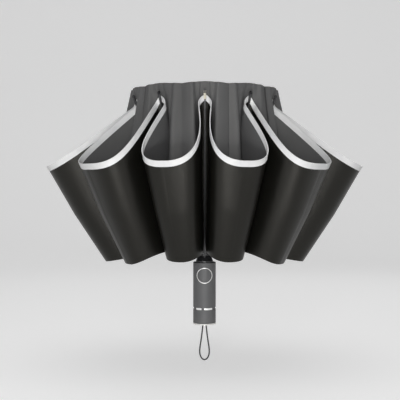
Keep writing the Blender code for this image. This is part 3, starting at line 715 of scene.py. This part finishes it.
def lathe(outline_mm, facets):
    """A round solid about Z from an outline of radii and heights."""
    bm = bmesh.new()
    rings = []
    for radius, height in outline_mm:
        ring = []
        for step in range(facets):
            angle = 2 * math.pi * step / facets
            spot = Vector((radius * math.cos(angle), radius * math.sin(angle), height)) * MM
            ring.append(bm.verts.new(spot))
        rings.append(ring)
    for low, high in zip(rings, rings[1:]):
        for step in range(facets):
            after = (step + 1) % facets
            bm.faces.new((low[step], low[after], high[after], high[step]))
    bmesh.ops.remove_doubles(bm, verts=bm.verts, dist=0.01 * MM)
    return bm


def make_tips():
    """The small pin at the end of each outer rib, which the tape's corner hangs on."""
    along = Vector((TIP_R - ELBOW_R, 0, TIP_Z - ELBOW_Z)).normalized()
    tilt = Vector((0, 0, 1)).rotation_difference(along).to_matrix().to_4x4()
    spot = Vector((TIP_R, 0, TIP_Z)) - along * TIP_SINK
    for rib in range(RIB_COUNT):
        obj = from_bmesh(f"rib_tip_{rib}", lathe(TIP_OUTLINE_MM, TIP_FACETS))
        obj.matrix_world = Matrix.Rotation(rib_angle(rib), 4, "Z") @ Matrix.Translation(spot) @ tilt
        # The front rib's tip gets the painted highlight colour, and the others get the dark rib steel.
        obj.data.materials.append(RIB_STEEL if rib else FRONT_TIP_HIGHLIGHT_PAINT)
        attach(obj, f"outer_rib_{rib}")


# Wrist loop


def smooth_route(route, steps):
    """Points on a smooth curve through a route's points, with steps from each to the next."""
    ends = [2 * route[0] - route[1]] + route + [2 * route[-1] - route[-2]]
    points = []
    for before, here, after, beyond in zip(ends, ends[1:], ends[2:], ends[3:]):
        for step in range(steps):
            share = step / steps
            first = (after - before) * share
            second = (2 * before - 5 * here + 4 * after - beyond) * share ** 2
            third = (3 * here - 3 * after + beyond - before) * share ** 3
            points.append(0.5 * (2 * here + first + second + third))
    points.append(route[-1])
    return points


def make_loop():
    """The wrist loop: one cord from the pin in the grip's end, round and back to the pin."""
    route = [Vector(point) for point in LOOP_ROUTE_MM]
    route += [Vector((-x, z)) for x, z in LOOP_ROUTE_MM[-2::-1]]
    points = smooth_route(route, CORD_STEPS)
    spots = [Vector((p.x * MM, 0, PIN_Z + p.y * MM)) for p in points]
    curve = bpy.data.curves.new("wrist_loop_cord", "CURVE")
    curve.dimensions = "3D"
    curve.bevel_depth = CORD_R
    curve.bevel_resolution = 4
    curve.use_fill_caps = True
    spline = curve.splines.new("POLY")
    spline.points.add(len(spots) - 1)
    for point, spot in zip(spline.points, spots):
        point.co = (*spot, 1)
    obj = bpy.data.objects.new("wrist_loop_cord", curve)
    bpy.context.scene.collection.objects.link(obj)
    obj.data.materials.append(CORD)
    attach(obj, "wrist_loop")
    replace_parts(obj, "wrist_loop")


# Stage


def shown_rays(tree):
    """1 for the rays that show the background: to the camera, off a glossy surface or through a clear one."""
    path = tree.nodes.new("ShaderNodeLightPath")
    total = path.outputs["Is Camera Ray"]
    for kind in ("Is Glossy Ray", "Is Transmission Ray"):
        add = tree.nodes.new("ShaderNodeMath")
        tree.links.new(total, add.inputs[0])
        tree.links.new(path.outputs[kind], add.inputs[1])
        total = add.outputs[0]
    return total


def make_floor():
    """A pale floor that curves up into a backdrop."""
    bm = bmesh.new()
    profile = [(FLOOR_FRONT_Y, 0.0), (FLOOR_BACK_Y, 0.0)]
    for step in range(1, BACKDROP_BEND_STEPS + 1):
        angle = math.pi / 2 * step / BACKDROP_BEND_STEPS
        deep = FLOOR_BACK_Y + BACKDROP_BEND * math.sin(angle)
        profile.append((deep, BACKDROP_BEND * (1 - math.cos(angle))))
    profile.append((FLOOR_BACK_Y + BACKDROP_BEND, BACKDROP_TOP))
    lines = []
    for y, z in profile:
        lines.append([bm.verts.new((x, y, FLOOR_Z + z)) for x in (-FLOOR_HALF_W, FLOOR_HALF_W)])
    for low, high in zip(lines, lines[1:]):
        bm.faces.new((low[0], low[1], high[1], high[0]))
    obj = from_bmesh("backdrop", bm)
    shader = Shader("backdrop", BACKDROP_COLOUR, 0.9, specular=0.1)
    glow = shader.node("ShaderNodeMath", operation="MULTIPLY")
    shader.link(shown_rays(shader.tree), glow.inputs[0])
    glow.inputs[1].default_value = BACKDROP_GLOW
    shader.set("Emission Color", (1, 1, 1, 1))
    shader.link(glow.outputs[0], shader.principled.inputs["Emission Strength"])
    obj.data.materials.append(shader.material)


def area_light(name, spot, aim, size, power):
    """A soft light of a width and a height."""
    light = bpy.data.lights.new(name, "AREA")
    light.shape = "RECTANGLE"
    light.size, light.size_y = size
    light.energy = power
    obj = bpy.data.objects.new(name, light)
    obj.location = spot
    obj.rotation_euler = (Vector(aim) - Vector(spot)).to_track_quat("-Z", "Y").to_euler()
    obj.visible_camera = False
    bpy.context.scene.collection.objects.link(obj)


def make_world():
    """A dim even light all round, which the camera, gloss and glass see brighter."""
    world = bpy.data.worlds.new("studio")
    world.use_nodes = True
    tree = world.node_tree
    background = tree.nodes["Background"]
    background.inputs["Color"].default_value = WORLD_COLOUR
    glow = tree.nodes.new("ShaderNodeMath")
    glow.operation = "MULTIPLY_ADD"
    tree.links.new(shown_rays(tree), glow.inputs[0])
    glow.inputs[1].default_value = WORLD_GLOW
    glow.inputs[2].default_value = WORLD_LIGHT
    tree.links.new(glow.outputs[0], background.inputs["Strength"])
    return world


def make_stage():
    """Camera, floor, lights and world."""
    scene = bpy.context.scene
    camera = bpy.data.objects.new("camera", bpy.data.cameras.new("camera"))
    camera.data.lens = CAMERA_LENS_MM
    camera.data.sensor_width = SENSOR_MM
    camera.location = CAMERA_SPOT
    camera.rotation_euler = (CAMERA_AIM - CAMERA_SPOT).to_track_quat("-Z", "Y").to_euler()
    scene.collection.objects.link(camera)
    scene.camera = camera
    make_floor()
    for light in LIGHTS:
        area_light(*light)
    scene.world = make_world()
    scene.view_settings.view_transform = "Standard"


make_stage()
make_loop()
dress_nodes()
make_cloth()
make_tips()
